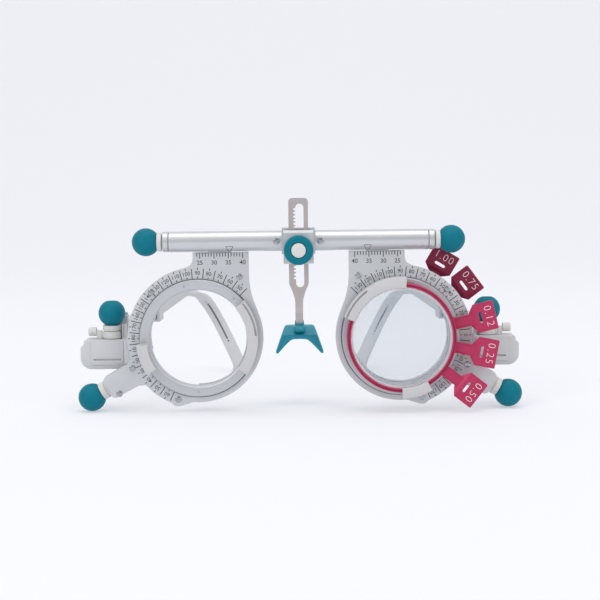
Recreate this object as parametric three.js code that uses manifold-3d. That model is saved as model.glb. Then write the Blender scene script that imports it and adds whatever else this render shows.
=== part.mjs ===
// Optician's adjustable trial frame with five tabbed trial lenses in its right cell, in millimetres, +Z up.
// The design axes start on the bridge tube: X runs along the tube, Y goes back towards the wearer, Z up.
// The right side (+X) is drawn; the left side mirrors it. Angles are in degrees, from +X towards +Z.
import * as THREE from 'three';
import { mergeVertices } from 'three/addons/utils/BufferGeometryUtils.js';
import Module from 'manifold-3d';

// Where the tube's axis stands above the table, and how far the assembly's middle lies behind it.
const TUBE_HEIGHT = 60.2;
const MIDDLE_Y = 48.86;

// Bridge tube and its spindles.
const TUBE_R = 3.6;
const TUBE_BORE = 2.8;
const TUBE_HALF = 45.4;
const SLOT_HALF_WIDTH = 1.0;
const SLOT_FROM = 12;
const SLOT_TO = 38;
const SPINDLE_R = 1.2;
const CAP_END = 47.6;
const PD_BALL_X = 53.4;
const PD_BALL_R = 4.9;
const PD_BALL_FLAT = 3.8;

// Rims: centre, plate and the cell that turns in it.
const RIM_X = 35.5;
const RIM_Z = -33.8;
const PLATE_HALF = 0.8;
const SCALE_R = 25;
const NASAL_R = 22.8;
const RIM_HOLE_R = 20.8;
const APERTURE_R = 16.9;
const CELL_R = 20.6;
const CELL_FRONT = -2.2;
const FLANGE_R = 21.9;
const FLANGE_FROM = 0.9;
const CROWN_ROOT = 1.7;
const CROWN_TIP = 2.4;
const CROWN_TEETH = 60;
const LEFT_CELL_TURN = -55.5;
const BACK_FROM = 3;
const BACK_TO = 4.2;

// Axis knob: a pinion on a shaft that leaves the rim along its arm.
const ARM_ANGLE = -29;
const ARM_HALF_WIDTH = 4.2;
const ARM_END = 36.8;
const ARM_BACK = 6.2;
const PINION_TEETH = 6;
const MODULE_FACE = 0.7;
const PINION_Y = 4.1;
const AXIS_BALL_AT = 43.9;
const AXIS_BALL_R = 5;
const AXIS_BALL_FLAT = 3.9;

// Trial lenses: 38 mm rings, their places in depth, and their handles.
const RING_R = 19;
const RING_BORE = 17.7;
const RING_HALF = 0.65;
const FRONT_EXIT = 12.5;
const REAR_EXIT = 75;
const FRONT_PLANES = [-4.35, -6.25, -8.15];
const REAR_PLANES = [5.65, 7.55];
const CLIP_FRONT = -9.5;
const CLIP_BACK = 8.8;
const LENSES = [
  { name: '012', y: FRONT_PLANES[0], angle: 13 },
  { name: '025', y: FRONT_PLANES[1], angle: -11 },
  { name: '050', y: FRONT_PLANES[2], angle: -38 },
  { name: '075', y: REAR_PLANES[0], angle: 36.5 },
  { name: '100', y: REAR_PLANES[1], angle: 59 },
];

// Nose rest: rack, pinion and pad.
const RACK_MODULE = 0.4;
const NOSE_PINION_TEETH = 6;
const NOSE_PINION_Z = -2.75;
const RACK_FRONT = -5.45;
const RACK_BACK = -4.65;
const RACK_HALF_WIDTH = 3.4;
const RACK_TOP = 15;
const SLOT_TOP = 13;
const SLOT_BOTTOM = -16;
const NECK_HALF = 1.35;
const PAD_FROM = 13.5;
const PAD_TO = 22.5;

// Temples: lug, housing, hinge and arm.
const LUG_X = [60.1, 61.9];
const HOUSING_X = [62.2, 78.3];
const HOUSING_Y = [7.6, 18.4];
const HOUSING_Z = [-45.6, -35.2];
const TILT_AXIS = { y: 10.5, z: -40.5 };
const TILT_SCREW = { x: 67.4, y: 13.2 };
const TILT_BALL_Z = -26;
const TILT_BALL_R = 4.8;
const TILT_BALL_FLAT = 4.25;
const HINGE = { x: 64.5, y: 22.6, z: -32.4 };
const ARM_TOE_IN = 10.5;
const ARM_RISE = 5.4;

const wasm = await Module();
wasm.setup();

/** Keeps positions only, merges equal corners, drops empty triangles and turns the faces out. */
function solid(geometry) {
  geometry.deleteAttribute('normal');
  geometry.deleteAttribute('uv');
  const merged = mergeVertices(geometry, 1e-4);
  const position = merged.getAttribute('position');
  const corner = (i) => new THREE.Vector3().fromBufferAttribute(position, merged.index.getX(i));
  const triangles = [];
  let volume = 0;
  for (let i = 0; i < merged.index.count; i += 3) {
    const triangle = [0, 1, 2].map((k) => merged.index.getX(i + k));
    if (new Set(triangle).size < 3) continue;
    volume += corner(i).dot(corner(i + 1).cross(corner(i + 2)));
    triangles.push(triangle);
  }
  const facing = triangles.map(([a, b, c]) => (volume < 0 ? [a, c, b] : [a, b, c]));
  return new wasm.Manifold(new wasm.Mesh({
    numProp: 3,
    vertProperties: new Float32Array(position.array),
    triVerts: new Uint32Array(facing.flat()),
  }));
}

const join = (first, ...others) => others.reduce((whole, piece) => whole.add(piece), first);
const cut = (first, ...tools) => tools.reduce((whole, tool) => whole.subtract(tool), first);

/** Points on an arc in a plane, both ends included. */
function arc(cx, cz, r, from, to, steps = 12) {
  return Array.from({ length: steps + 1 }, (_, i) => {
    const a = THREE.MathUtils.degToRad(from + ((to - from) * i) / steps);
    return [cx + r * Math.cos(a), cz + r * Math.sin(a)];
  });
}

const shapeOf = (points) => new THREE.Shape(points.map(([a, b]) => new THREE.Vector2(a, b)));
const mirrored = (points, side) => points.map(([x, z]) => [side * x, z]);

/** A plate whose outline lies in the XZ plane, from y0 to y1. */
function plate(points, y0, y1, holes = []) {
  const shape = shapeOf(points);
  holes.forEach((hole) => shape.holes.push(shapeOf(hole)));
  const geometry = new THREE.ExtrudeGeometry(shape, { depth: y1 - y0, bevelEnabled: false });
  return solid(geometry.rotateX(Math.PI / 2).translate(0, y1, 0));
}

/** A plate whose outline lies in the YZ plane, from x0 to x1. */
function slab(points, x0, x1, holes = []) {
  const shape = shapeOf(points);
  holes.forEach((hole) => shape.holes.push(shapeOf(hole)));
  const depth = Math.abs(x1 - x0);
  const geometry = new THREE.ExtrudeGeometry(shape, { depth, bevelEnabled: false });
  geometry.rotateZ(Math.PI / 2).rotateY(Math.PI / 2);
  return solid(geometry.translate(Math.min(x0, x1), 0, 0));
}

/** A box between two corners given axis by axis, in any order. */
function box([x0, x1], [y0, y1], [z0, z1]) {
  const geometry = new THREE.BoxGeometry(Math.abs(x1 - x0), Math.abs(y1 - y0), Math.abs(z1 - z0));
  return solid(geometry.translate((x0 + x1) / 2, (y0 + y1) / 2, (z0 + z1) / 2));
}

/** A turned piece: profile points are [radius, distance along the direction from the origin]. */
function turned(profile, origin, direction, segments = 24) {
  const points = profile.map(([r, h]) => new THREE.Vector2(r, h));
  const geometry = new THREE.LatheGeometry(points, segments);
  const up = new THREE.Vector3(0, 1, 0);
  const towards = new THREE.Vector3(...direction).normalize();
  geometry.applyQuaternion(new THREE.Quaternion().setFromUnitVectors(up, towards));
  return solid(geometry.translate(...origin));
}

const rod = (r, from, to, origin, direction, segments = 16) =>
  turned([[0, from], [r, from], [r, to], [0, to]], origin, direction, segments);

const ring = (inner, outer, from, to, origin, direction, segments = 48) =>
  turned([[inner, from], [outer, from], [outer, to], [inner, to], [inner, from]], origin, direction, segments);

/** A ball at a distance along its axis, with a flat and a blind bore that face back; the flat is given from its middle. */
function ball(r, flat, bore, depth, at, origin, direction) {
  const start = -THREE.MathUtils.radToDeg(Math.asin(flat / r));
  const curve = arc(0, at, r, start, 90, 7);
  curve[curve.length - 1][0] = 0;
  return turned([[0, at - flat + depth], [bore, at - flat + depth], [bore, at - flat], ...curve], origin, direction, 16);
}

/** The outline of a gear or toothed disc: teeth of a given half angle share at root and tip. */
function toothed(cx, cz, teeth, root, tip, firstTooth, rootShare, tipShare) {
  const pitch = 360 / teeth;
  return Array.from({ length: teeth }, (_, i) => {
    const middle = firstTooth + i * pitch;
    const spread = [[root, -rootShare], [tip, -tipShare], [tip, tipShare], [root, rootShare]];
    return spread.flatMap(([r, share]) => arc(cx, cz, r, middle + share * pitch, middle, 1).slice(0, 1));
  }).flat();
}

const model = new THREE.Group();
model.position.set(0, -MIDDLE_Y, TUBE_HEIGHT);

/** Adds one named piece to the assembly. */
function add(name, piece, material) {
  const { vertProperties, triVerts, numProp } = piece.getMesh();
  const positions = new Float32Array((vertProperties.length / numProp) * 3);
  for (let i = 0; i < positions.length; i += 1) {
    positions[i] = vertProperties[Math.floor(i / 3) * numProp + (i % 3)];
  }
  const geometry = new THREE.BufferGeometry();
  geometry.setAttribute('position', new THREE.BufferAttribute(positions, 3));
  geometry.setIndex(new THREE.BufferAttribute(new Uint32Array(triVerts), 1));
  geometry.computeVertexNormals();
  const mesh = new THREE.Mesh(geometry, material);
  mesh.name = name;
  model.add(mesh);
}

const finish = (color, roughness, metalness) => new THREE.MeshStandardMaterial({ color, roughness, metalness });
const satinTube = finish(0xd9dadd, 0.3, 0.9);
const platePaint = finish(0xcfd1d4, 0.45, 0.4);
const cellSilver = finish(0xc2c4c8, 0.35, 0.8);
const whitePlastic = finish(0xeceef0, 0.4, 0);
const warmSteel = finish(0xb9b0ae, 0.35, 1);
const steel = finish(0xb8babd, 0.25, 1);
const tealRubber = finish(0x0e7886, 0.55, 0);
const padTeal = finish(0x1196ac, 0.5, 0);
const palePlastic = finish(0xd8dadc, 0.5, 0);
const magenta = finish(0xb5325c, 0.4, 0.6);
const magentaDark = finish(0x87193b, 0.4, 0.6);
const clearGlass = new THREE.MeshStandardMaterial({
  color: 0xe8f4f8, roughness: 0.02, metalness: 0, transparent: true, opacity: 0.3,
});

const ALONG_X = [1, 0, 0];
const ALONG_Y = [0, 1, 0];
const ALONG_Z = [0, 0, 1];
const CENTRE = [0, 0, 0];

// ---- Bridge tube -------------------------------------------------------------------------------

/** The tube: two slots below for the rim carriages and two holes in front for the stop screws. */
function bridgeTube() {
  const tube = ring(TUBE_BORE, TUBE_R, -TUBE_HALF, TUBE_HALF, CENTRE, ALONG_X, 32);
  const slots = [-1, 1].map((side) =>
    box([side * SLOT_FROM, side * SLOT_TO], [-SLOT_HALF_WIDTH, SLOT_HALF_WIDTH], [-TUBE_R - 1, 0]));
  const holes = [-1, 1].map((side) => rod(0.8, -5, 0, [side * 7.7, 0, 0], ALONG_Y, 12));
  return cut(tube, ...slots, ...holes);
}

add('bridge_tube', bridgeTube(), satinTube);
add('screw_centre_bearing', ring(SPINDLE_R + 0.15, 2.65, -3, 3, CENTRE, ALONG_X, 24), steel);

for (const [side, label] of [[-1, 'left'], [1, 'right']]) {
  const outward = [side, 0, 0];
  const bore = SPINDLE_R + 0.2;
  add(`tube_end_cap_${label}`, turned([
    [bore, 43.4], [2.65, 43.4], [2.65, TUBE_HALF + 0.15], [TUBE_R, TUBE_HALF + 0.15],
    [TUBE_R, CAP_END - 0.4], [TUBE_R - 0.4, CAP_END], [bore, CAP_END], [bore, 43.4],
  ], CENTRE, outward, 24), satinTube);
  add(`pd_screw_${label}`, turned([
    [0, 0.6], [SPINDLE_R, 0.6], [SPINDLE_R, CAP_END + 0.25], [2.9, CAP_END + 0.25], [3.3, CAP_END + 0.6],
    [3.3, 49.3], [3.1, 49.55], [SPINDLE_R, 49.55], [SPINDLE_R, 52.7], [0, 52.7],
  ], CENTRE, outward, 20), whitePlastic);
  add(`pd_ball_${label}`, ball(PD_BALL_R, PD_BALL_FLAT, SPINDLE_R + 0.1, 3.3, PD_BALL_X, CENTRE, outward), tealRubber);
  add(`tube_stop_screw_${label}`, turned([
    [0, 2.95], [0.6, 2.95], [0.6, 3.7], [1.2, 3.7], [1.2, 4], [0.9, 4.3], [0, 4.3],
  ], [side * 7.7, 0, 0], [0, -1, 0], 16), steel);
}

// ---- Nose rest ---------------------------------------------------------------------------------

const saddleOutline = [[-4.2, -4.5], [3.6, -4.5], [4.6, -3.5], [4.6, 3.5], [3.6, 4.5], [-4.2, 4.5]];
add('nose_saddle', slab(saddleOutline, -5.8, 5.8, [arc(0, 0, TUBE_R + 0.15, 0, 348.75, 31)]), cellSilver);

/** The block in front of the tube: a channel in its back guides the rack and a bore takes the pinion. */
function noseBlock() {
  const outline = [[-9, -6.8], [-8.2, -7.6], [-4.35, -7.6], [-4.35, 3.9], [-8.2, 3.9], [-9, 3.1]];
  const block = slab(outline, -5.2, 5.2);
  const channel = box([-3.55, 3.55], [-5.7, -4], [-9, 5]);
  return cut(block, channel, rod(1.05, -12, -4, [0, 0, NOSE_PINION_Z], ALONG_Y, 20));
}
add('nose_block', noseBlock(), platePaint);

const nosePinionR = (RACK_MODULE * NOSE_PINION_TEETH) / 2;
const nosePinion = join(
  rod(0.9, -12.1, RACK_FRONT + 0.1, [0, 0, NOSE_PINION_Z], ALONG_Y, 16),
  plate(
    toothed(0, NOSE_PINION_Z, NOSE_PINION_TEETH, nosePinionR - 0.4, nosePinionR + 0.26, 180, 0.3, 0.12),
    RACK_FRONT, RACK_BACK,
  ),
);
add('nose_pinion', nosePinion, steel);
add('nose_knob_ring', turned([
  [1, -9.2], [4.4, -9.2], [5.05, -9.8], [5.05, -12.9], [4.5, -13.5], [2.7, -13.5], [2.7, -12.3], [1, -12.3], [1, -9.2],
], [0, 0, NOSE_PINION_Z], ALONG_Y, 24), tealRubber);
add('nose_knob_cap', turned([
  [0, -12.4], [2.5, -12.4], [2.5, -13.6], [2, -13.9], [0, -14],
], [0, 0, NOSE_PINION_Z], ALONG_Y, 24), whitePlastic);

/** The rack strip: a toothed window, a tapered foot and a neck that bends back to the pad. */
function noseRack() {
  const pitch = Math.PI * RACK_MODULE;
  const pitchLine = -nosePinionR - 0.05;
  const count = Math.floor((SLOT_TOP - SLOT_BOTTOM - 3.4) / pitch);
  const spaceAt = (i) => NOSE_PINION_Z + (i - Math.floor((NOSE_PINION_Z - SLOT_BOTTOM - 2) / pitch)) * pitch;
  const teeth = Array.from({ length: count }, (_, i) => {
    const z = spaceAt(i);
    return [
      [pitchLine + 0.26, z - 0.38 * pitch], [pitchLine - 0.42, z - 0.22 * pitch],
      [pitchLine - 0.42, z + 0.22 * pitch], [pitchLine + 0.26, z + 0.38 * pitch],
    ];
  }).flat();
  const edge = pitchLine + 0.26;
  const round = (1.85 - edge) / 2;
  const window = [
    ...teeth, ...arc(edge + round, SLOT_TOP - round, round, 180, 0, 8),
    ...arc(edge + round, SLOT_BOTTOM + round, round, 360, 180, 8),
  ];
  const shoulder = [[3.4, -14.4], [3.2, -15.3], [2.7, -16.4], [2.1, -17.9], [1.6, -19.6], [NECK_HALF, -21.2], [NECK_HALF, -22.4]];
  const outline = [
    ...arc(RACK_HALF_WIDTH - 1.3, RACK_TOP - 1.3, 1.3, 0, 90, 4),
    ...arc(1.3 - RACK_HALF_WIDTH, RACK_TOP - 1.3, 1.3, 90, 180, 4),
    ...mirrored(shoulder, -1), ...shoulder.slice().reverse(),
  ];
  const strip = plate(outline, RACK_FRONT, RACK_BACK, [window]);
  const bend = [
    [RACK_FRONT, -22.2], [RACK_FRONT, -22.8], [-4.7, -25], [-2.6, -26.8], [15.6, -33.8],
    [15.9, -33], [-2.2, -26], [-4, -24.5], [RACK_BACK, -22.7], [RACK_BACK, -22.2],
  ];
  return join(strip, slab(bend, -NECK_HALF, NECK_HALF));
}
add('nose_rack', noseRack(), warmSteel);

/** The nose pad: a saddle with spread legs and a sleeve in front that grips the rack's neck. */
function nosePad() {
  const half = [[4.9, -31.8], [5.5, -32.3], [6.35, -34.7], [8.6, -41.1], [8.35, -41.5], [7.7, -41.4], [3.3, -36.9], [2.3, -36.3]];
  const outline = [...half, ...mirrored(half, -1).reverse()];
  const slope = slab([[12, -35.9], [17.6, -31.6], [12, -31.6]], -9, 9);
  const saddle = cut(plate(outline, PAD_FROM, PAD_TO), slope);
  const sleeve = slab([[6.5, -31.2], [16, -35], [18, -34], [18, -31.9], [15.2, -31.9], [6.5, -28.8]], -1.85, 1.85);
  const socket = slab([[5, -30.7], [16.3, -35.05], [16.3, -32.05], [5, -28.8]], -NECK_HALF - 0.12, NECK_HALF + 0.12);
  return cut(join(saddle, sleeve), socket);
}
add('nose_pad', nosePad(), padTeal);

// ---- Rims --------------------------------------------------------------------------------------

const rimOrigin = (side) => [side * RIM_X, 0, RIM_Z];
const towardsArm = (side) => {
  const a = THREE.MathUtils.degToRad(ARM_ANGLE);
  return [side * Math.cos(a), 0, Math.sin(a)];
};

/** Outline points drawn about the right rim's centre, placed on either side. */
const onRim = (points, side) => points.map(([x, z]) => [side * (RIM_X + x), RIM_Z + z]);

const rectangleAlong = (angle, from, to, half) => {
  const a = THREE.MathUtils.degToRad(angle);
  return [[from, -half], [to, -half], [to, half], [from, half]].map(([u, v]) =>
    [u * Math.cos(a) - v * Math.sin(a), u * Math.sin(a) + v * Math.cos(a)]);
};

/** A wedge about the rim's centre, for cutting a ring into sectors. */
const wedge = (from, to, y0, y1, side, r = 40) =>
  plate(onRim([[0, 0], ...arc(0, 0, r, from, to, 8)], side), y0, y1);

/** The front plate: protractor ring, hanger up into the tube, and the axis knob's arm. */
function dialPlate(side) {
  const hangerTop = -RIM_Z - TUBE_R - 0.2;
  const outline = [
    [-18, hangerTop], [-18, 22], [-18.3, 18], [-19.4, 13.5], ...arc(0, 0, NASAL_R, 163, 295, 18),
    ...arc(0, 0, SCALE_R, -65, 80, 22), [2.6, 25.3], [1.8, 26.4], [1.6, 28], [1.6, hangerTop],
  ];
  const boss = arc(0, 0, 1, -71, -71, 1)[0].map((v) => v * 22.9);
  const face = join(
    plate(onRim(outline, side), -PLATE_HALF, PLATE_HALF),
    plate(onRim(arc(boss[0], boss[1], 2.6, 0, 330, 11), side), -PLATE_HALF, PLATE_HALF),
    plate(onRim(rectangleAlong(ARM_ANGLE, 23, ARM_END, ARM_HALF_WIDTH), side), -PLATE_HALF, ARM_BACK),
    box([side * (RIM_X - 12), side * (RIM_X - 4)], [-PLATE_HALF, PLATE_HALF], [-TUBE_R - 1, 0.6]),
  );
  const hole = rod(RIM_HOLE_R, -3, 3, rimOrigin(side), ALONG_Y, 40);
  const spindle = rod(SPINDLE_R + 0.2, -40, 40, CENTRE, ALONG_X, 16);
  const [dx, , dz] = towardsArm(side);
  const shaftHole = rod(SPINDLE_R + 0.15, 21, ARM_END + 1, [side * RIM_X, PINION_Y, RIM_Z], [dx, 0, dz], 16);
  return cut(face, hole, spindle, shaftHole);
}

/** The path a lens ring sweeps as it is drawn out of its clips, as an outline. */
function exitPath(angle, r = RING_R + 0.15) {
  const outline = [...arc(0, 0, r, angle + 90, angle + 270, 24), ...arc(0, 0, r, angle - 90, angle + 90, 1)];
  const a = THREE.MathUtils.degToRad(angle);
  const shift = [45 * Math.cos(a), 45 * Math.sin(a)];
  return outline.map(([x, z], i) => (i > 24 ? [x + shift[0], z + shift[1]] : [x, z]));
}

/** A clip sector: lens grooves are the exit paths cut through a solid ring. */
function clip(side, sectors, y0, y1, grooves, exit, turn = 0) {
  const outer = ring(17.4, 21.1, y0, y1, rimOrigin(side), ALONG_Y, 36);
  const wedges = sectors.map(([from, to]) => wedge(from - turn, to - turn, y0 - 1, y1 + 1, side));
  const paths = grooves.map(([low, high]) => plate(onRim(exitPath(exit - turn), side), low, high));
  return cut(join(...wedges).intersect(outer), ...paths);
}

const groove = (y) => [y - 0.75, y + 0.75];

/** The back plate: closes the crown wheel in and carries the rear lens clips. */
function backPlate(side) {
  const nasal = [...arc(0, 0, 22.4, 130, 295, 20), ...arc(0, 0, 24.6, -65, 130, 26)];
  const disc = plate(onRim(nasal, side), BACK_FROM, BACK_TO);
  const wall = ring(22.4, 24.6, 0.95, BACK_FROM + 0.1, rimOrigin(side), ALONG_Y, 36);
  const walls = join(wedge(8, 128, 0, 4, side), wedge(-63, -49, 0, 4, side)).intersect(wall);
  const rearClips = clip(side, [[150, 185], [-15, 8], [238, 272]], BACK_TO - 0.1, CLIP_BACK, [
    [BACK_TO, REAR_PLANES[0] + 0.75], groove(REAR_PLANES[1]),
  ], REAR_EXIT);
  const pinionPocket = plate(onRim(rectangleAlong(ARM_ANGLE, 19.6, 26, 4.6), side), 2, 5);
  const opening = rod(APERTURE_R + 0.3, -1, 9, rimOrigin(side), ALONG_Y, 36);
  return join(cut(join(disc, walls), pinionPocket, opening), rearClips);
}

/** The turning cell: journal, flange and crown teeth that face the back plate. */
function lensCell(side) {
  const body = turned([
    [APERTURE_R, CELL_FRONT], [CELL_R - 0.2, CELL_FRONT], [CELL_R, CELL_FRONT + 0.2], [CELL_R, FLANGE_FROM],
    [FLANGE_R, FLANGE_FROM], [FLANGE_R, CROWN_ROOT], [APERTURE_R, CROWN_ROOT], [APERTURE_R, CELL_FRONT],
  ], rimOrigin(side), ALONG_Y, 40);
  const pitch = 360 / CROWN_TEETH;
  const firstTooth = ARM_ANGLE + pitch / 2;
  const crown = plate(
    onRim(toothed(0, 0, CROWN_TEETH, 20.2, FLANGE_R - 0.1, firstTooth, 0.21, 0.2), side),
    CROWN_ROOT - 0.2, CROWN_TIP,
  );
  const inside = rod(20.35, CROWN_ROOT, CROWN_TIP + 1, rimOrigin(side), ALONG_Y, 40);
  const bore = rod(APERTURE_R, -5, 5, rimOrigin(side), ALONG_Y, 40);
  return cut(join(body, crown), inside, bore);
}

/** Shaft, collars and pinion of the axis knob, along the arm. */
function axisShaft(side) {
  const origin = [side * RIM_X, PINION_Y, RIM_Z];
  const shaft = turned([
    [0, 20.3], [SPINDLE_R, 20.3], [SPINDLE_R, ARM_END + 0.2], [3.3, ARM_END + 0.2], [3.3, 37.6], [2.8, 37.7],
    [2.8, 37.9], [3.1, 38], [3.1, AXIS_BALL_AT - AXIS_BALL_FLAT - 0.05], [SPINDLE_R, AXIS_BALL_AT - AXIS_BALL_FLAT - 0.05],
    [SPINDLE_R, 42.6], [0, 42.6],
  ], origin, towardsArm(side), 24);
  const pitchR = (PINION_TEETH * MODULE_FACE) / 2;
  const outline = shapeOf(toothed(0, 0, PINION_TEETH, pitchR - 0.45, pitchR + 0.28, 90, 0.3, 0.12));
  const wheel = new THREE.ExtrudeGeometry(outline, { depth: 1.5, bevelEnabled: false });
  // The outline's first tooth points along its own +Y, so the wheel is turned until that is the row's -Y.
  const along = new THREE.Vector3(...towardsArm(side));
  const toothWay = new THREE.Vector3(0, -1, 0);
  const basis = new THREE.Matrix4().makeBasis(toothWay.clone().cross(along), toothWay, along);
  wheel.applyMatrix4(basis).translate(...along.clone().multiplyScalar(20.4).add(new THREE.Vector3(...origin)));
  return join(shaft, solid(wheel));
}

for (const [side, label] of [[-1, 'left'], [1, 'right']]) {
  const turn = side < 0 ? LEFT_CELL_TURN : 0;
  add(`rim_dial_plate_${label}`, dialPlate(side), platePaint);
  add(`rim_back_plate_${label}`, backPlate(side), palePlastic);
  const nut = cut(
    rod(2.6, side * RIM_X - 8 * side - 4.6, side * RIM_X - 8 * side + 4.6, CENTRE, ALONG_X),
    rod(SPINDLE_R + 0.12, -50, 50, CENTRE, ALONG_X),
    box([side * (RIM_X - 12.1), side * (RIM_X - 3.9)], [-PLATE_HALF - 0.1, PLATE_HALF + 0.1], [-4, 0.8]),
  );
  add(`carriage_nut_${label}`, nut, steel);
  add(`lens_cell_${label}`, lensCell(side), cellSilver);
  for (const [clipName, sector] of [['long', [85, 160]], ['short', [270, 300]]]) {
    const frontClip = clip(
      side, [sector], CLIP_FRONT, CELL_FRONT - 0.1, FRONT_PLANES.map(groove), FRONT_EXIT, turn);
    add(`front_clip_${clipName}_${label}`, frontClip, whitePlastic);
  }
  add(`axis_pinion_shaft_${label}`, axisShaft(side), whitePlastic);
  add(`axis_ball_${label}`, ball(
    AXIS_BALL_R, AXIS_BALL_FLAT, SPINDLE_R + 0.1, 2.8, AXIS_BALL_AT, [side * RIM_X, PINION_Y, RIM_Z], towardsArm(side),
  ), tealRubber);
}

// ---- Trial lenses ------------------------------------------------------------------------------

/** A lens ring with its neck and five-sided handle; the handle has a slot near the ring. */
function lensRing({ y, angle }) {
  const origin = [RIM_X, y, RIM_Z];
  const hoop = ring(RING_BORE, RING_R, -RING_HALF, RING_HALF, origin, ALONG_Y, 40);
  const handle = [
    [18.4, -2], [24.5, -2], [26.7, -5.05], [33.5, -5.05], [33.8, -4.75], [33.8, 4.75], [33.5, 5.05], [26.7, 5.05],
    [24.5, 2], [18.4, 2],
  ];
  const slot = [...arc(28.4, 1.55, 0.5, 0, 180, 4), ...arc(28.4, -1.55, 0.5, 180, 360, 4)];
  const a = THREE.MathUtils.degToRad(angle);
  const swing = (points) =>
    points.map(([u, v]) => [u * Math.cos(a) - v * Math.sin(a), u * Math.sin(a) + v * Math.cos(a)]);
  const tab = plate(onRim(swing(handle), 1), y - 0.5, y + 0.5, [onRim(swing(slot), 1)]);
  return join(hoop, tab);
}

/** The lens itself, a thin blank with slightly domed faces. */
function lensGlass({ y }) {
  const edge = RING_BORE - 0.15;
  return turned([[0, -0.7], [edge, -0.42], [edge, 0.42], [0, 0.7]], [RIM_X, y, RIM_Z], ALONG_Y, 36);
}

for (const lens of LENSES) {
  add(`lens_ring_${lens.name}`, lensRing(lens), lens.y > 0 ? magentaDark : magenta);
  add(`lens_glass_${lens.name}`, lensGlass(lens), clearGlass);
}

// ---- Temples -----------------------------------------------------------------------------------

/** The lug: its foot is clamped behind the dial plate, its ear carries the tilt pin. */
function templeLug(side) {
  const foot = plate(onRim([
    ...arc(0, 0, 22.4, -23, 4, 6), [24.8, 1.6], [26.3, -1.2], [26.3, -12.2], ...arc(0, 0, 24.5, -24, -23, 1),
  ], side), 0.95, BACK_FROM - 0.1);
  const ear = [
    [1, -45.6], [15, -45.6], [16.2, -44.4], [16.2, -36.4], [15, -35.2], [1, -35.2],
  ];
  const plateEar = slab(ear, side * LUG_X[0], side * LUG_X[1]);
  const pin = rod(1.5, LUG_X[0] + 0.4, 70, [0, TILT_AXIS.y, TILT_AXIS.z], [side, 0, 0]);
  return join(cut(join(foot, plateEar), armClearance(side)), pin);
}

/** Room for the axis knob's arm where it passes the lug. */
function armClearance(side) {
  return plate(onRim(rectangleAlong(ARM_ANGLE, 20, ARM_END + 6, ARM_HALF_WIDTH + 0.35), side), -2, ARM_BACK + 0.35);
}

/** The temple block: bored for the tilt pin and screw, with two hinge ears behind. */
function templeHousing(side) {
  const [inner, outer] = HOUSING_X;
  const [bottom, top] = HOUSING_Z;
  const outline = [
    [inner, top], [outer - 1.5, top], [outer - 1.1, top - 0.5], [outer - 1, top - 1.7], [outer, top - 2.3],
    ...arc(outer - 4, bottom + 4, 4, 0, -90, 6), [inner, bottom],
  ];
  const block = plate(mirrored(outline, side), ...HOUSING_Y);
  const panel = plate(mirrored([
    [inner + 0.6, top - 0.6], [outer - 3.8, top - 0.6], [outer - 3.8, bottom + 1.5], [inner + 0.6, bottom + 1.5],
  ], side), HOUSING_Y[0] - 0.4, HOUSING_Y[0] + 1);
  const line = box([side * 63.8, side * 73.6], [HOUSING_Y[0] - 1, HOUSING_Y[0] + 0.2], [-42.4, -41.8]);
  const pinHole = rod(1.62, 50, 71, [0, TILT_AXIS.y, TILT_AXIS.z], [side, 0, 0]);
  const screwHole = rod(SPINDLE_R + 0.15, -37.6, -30, [side * TILT_SCREW.x, TILT_SCREW.y, 0], ALONG_Z);
  const [ramp, behind] = [HOUSING_Y[1] - 0.4, HOUSING_Y[1] + 1.4];
  const riser = box([side * (HINGE.x - 2.2), side * (HINGE.x + 2.6)], [ramp, behind], [bottom + 2, HINGE.z + 5]);
  const ears = [-5, 2.8].map((low) => cut(join(
    box([side * (HINGE.x - 2.2), side * (HINGE.x + 2.6)], [behind - 0.5, HINGE.y], [HINGE.z + low, HINGE.z + low + 2.2]),
    rod(2.4, HINGE.z + low, HINGE.z + low + 2.2, [side * (HINGE.x + 0.2), HINGE.y, 0], ALONG_Z),
  ), rod(1.3, HINGE.z - 9, HINGE.z + 9, [side * HINGE.x, HINGE.y, 0], ALONG_Z)));
  const guide = box([side * 62.3, side * 63.6], [11.5, 15], [top - 0.4, -30]);
  return join(cut(join(block, panel), line, pinHole, screwHole), riser, guide, ...ears);
}

/** The way a temple arm runs back from its hinge. */
function armWay(side) {
  const toe = THREE.MathUtils.degToRad(ARM_TOE_IN);
  const rise = THREE.MathUtils.degToRad(ARM_RISE);
  return new THREE.Vector3(-side * Math.sin(toe) * Math.cos(rise), Math.cos(toe) * Math.cos(rise), Math.sin(rise));
}

/** A bar along the arm: u is the distance from the hinge, v the offset inwards, w the offset upwards. */
function bar(side, [u0, u1], [v0, v1], [w0, w1]) {
  const geometry = new THREE.BoxGeometry(v1 - v0, u1 - u0, w1 - w0);
  geometry.translate((v0 + v1) / 2, (u0 + u1) / 2, (w0 + w1) / 2);
  const along = armWay(side);
  const inwards = new THREE.Vector3(-side * along.y, side * along.x, 0).normalize();
  const up = side < 0 ? inwards.clone().cross(along) : along.clone().cross(inwards);
  geometry.applyMatrix4(new THREE.Matrix4().makeBasis(inwards, along, up.z < 0 ? up.negate() : up));
  return solid(geometry.translate(side * HINGE.x, HINGE.y, HINGE.z));
}

/** The carrier: hinge knuckle, short bar, and a sleeve at its end that the arm slides through. */
function templeCarrier(side) {
  const knuckle = rod(2.3, HINGE.z - 2.6, HINGE.z + 2.6, [side * HINGE.x, HINGE.y, 0], ALONG_Z);
  const pinHole = rod(1.3, HINGE.z - 9, HINGE.z + 9, [side * HINGE.x, HINGE.y, 0], ALONG_Z);
  const sleeve = cut(
    bar(side, [30, 36], [-1.2, 5.3], [-3.6, 3.6]),
    bar(side, [28, 38], [1.55, 4.35], [-2.7, 2.7]),
  );
  return cut(join(knuckle, bar(side, [1.8, 31], [-1.2, 1.2], [-2.4, 2.4]), sleeve), pinHole);
}

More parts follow.
